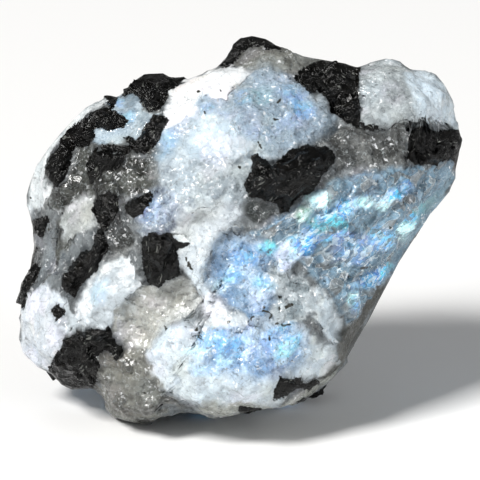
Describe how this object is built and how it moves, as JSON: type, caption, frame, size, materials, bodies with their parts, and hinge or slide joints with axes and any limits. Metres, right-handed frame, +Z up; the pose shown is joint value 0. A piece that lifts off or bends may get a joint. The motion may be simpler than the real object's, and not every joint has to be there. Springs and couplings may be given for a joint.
{
  "type": "rough moonstone",
  "caption": "Rough broken lump of milky blue-flashing moonstone feldspar with black tourmaline crystals grown through it; stands on a flat break.",
  "frame": {"origin": "on the surface that the stone rests on, under the middle of its box", "axes": "+X to the right along the stone's longest side as its best face is seen, +Y away from the viewer of that face, +Z up"},
  "size_m": [0.067, 0.0466, 0.055],
  "materials": {
    "moonstone": "broken milky feldspar with a blue flash on its cleavage, glassy to pearly",
    "tourmaline": "black striated tourmaline, glossy on its breaks"
  },
  "bodies": {
    "root": {"moonstone": "moonstone"}
  },
  "joints": []
}
